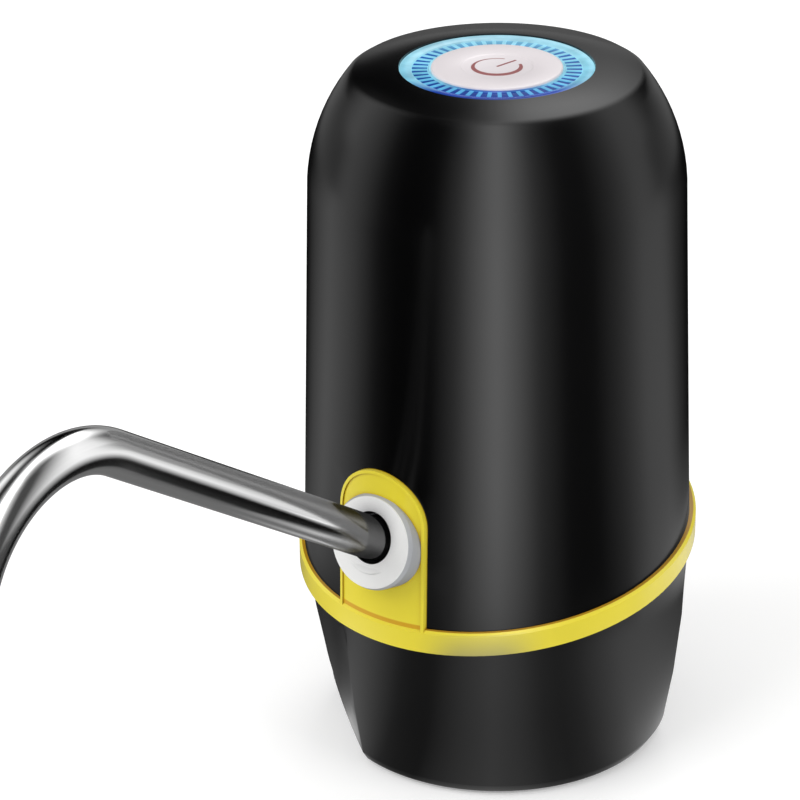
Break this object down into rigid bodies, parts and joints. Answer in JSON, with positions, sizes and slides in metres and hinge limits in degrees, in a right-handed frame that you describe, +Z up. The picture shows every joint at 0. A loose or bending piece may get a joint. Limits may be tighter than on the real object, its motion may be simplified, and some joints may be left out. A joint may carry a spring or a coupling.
{
  "type": "bottle water pump",
  "caption": "Rechargeable pump that stands on a water bottle's neck, with a bent steel spout, a lit ring and a push button on top.",
  "frame": {"origin": "centre of the base's rim, where the bottle neck enters", "axes": "+Z up along the casing's axis, spout towards -Y, charging socket towards +Y"},
  "size_m": [0.0762, 0.1869, 0.134],
  "materials": {
    "casing": "satin gloss black",
    "trim": "bright yellow gold",
    "base": "soft black",
    "collar": "gloss white",
    "spout": "polished stainless steel",
    "light_ring": "clear tinted moulding",
    "button": "gloss white",
    "silicone": "translucent white",
    "moulding": "plain moulding",
    "gear": "natural acetal",
    "steel": "zinc plated",
    "can": "plated can",
    "magnet": "sintered",
    "carbon": "pressed carbon",
    "brass": "bright",
    "nickel": "nickel plated",
    "cell": "shrink sleeve",
    "foam": "foam",
    "board": "solder mask",
    "lamp": "lamp body",
    "lead_sleeve": "insulation"
  },
  "bodies": {
    "housing": {"body_shell": "casing", "trim_ring": "trim", "base_shell": "base", "intake_nipple": "moulding", "outlet_tube": "silicone", "spout_socket": "moulding", "spout_collar": "collar", "pump_housing": "moulding", "pump_cover": "moulding", "idler_pin": "steel", "shaft_seal": "silicone", "chassis": "moulding", "pump_screws": "steel", "motor_screws": "steel", "case_screws": "steel", "board_screws": "steel", "charge_board_screws": "steel", "motor_can": "can", "motor_end_cap": "moulding", "motor_terminals": "brass", "motor_brushes": "carbon", "motor_magnets": "magnet", "battery_cell": "cell", "battery_tabs": "nickel", "battery_pad": "foam", "control_board": "board", "tact_switch": "moulding", "led_set": "lamp", "light_ring": "light_ring", "charge_board": "board", "usb_socket": "nickel", "usb_tongue": "moulding", "motor_leads": "lead_sleeve", "battery_leads": "lead_sleeve", "charge_leads": "lead_sleeve"},
    "button": {"button_cap": "button", "switch_plunger": "moulding"},
    "rotor": {"motor_shaft": "steel", "rotor_core": "steel", "commutator": "brass", "drive_gear": "gear"},
    "idler": {"idler_gear": "gear"},
    "seal": {"spout_seal": "silicone"},
    "spout": {"spout_tube": "spout"}
  },
  "joints": [
    {"name": "button_press", "type": "slide", "parent": "housing", "child": "button", "axis": [0, 0, -1], "range_m": [0, 0.0005], "stiffness_N_per_m": 400, "springref_m": -0.001},
    {"name": "spout_turn", "type": "hinge", "parent": "housing", "child": "seal", "pos_m": [0, -0.03721, 0.05319], "axis": [0, -0.8348, 0.5505], "continuous": true},
    {"name": "spout_pull", "type": "slide", "parent": "seal", "child": "spout", "axis": [0, -0.8348, 0.5505], "range_m": [0, 0.014]},
    {"name": "motor_spin", "type": "hinge", "parent": "housing", "child": "rotor", "pos_m": [-0.00403, 0, 0.05], "axis": [0, 0, 1], "continuous": true},
    {"name": "idler_spin", "type": "hinge", "parent": "housing", "child": "idler", "pos_m": [0.00403, 0, 0.034], "axis": [0, 0, 1], "continuous": true}
  ],
  "couplings": [
    {"joint": "idler_spin", "follows": "motor_spin", "ratio": -1}
  ]
}
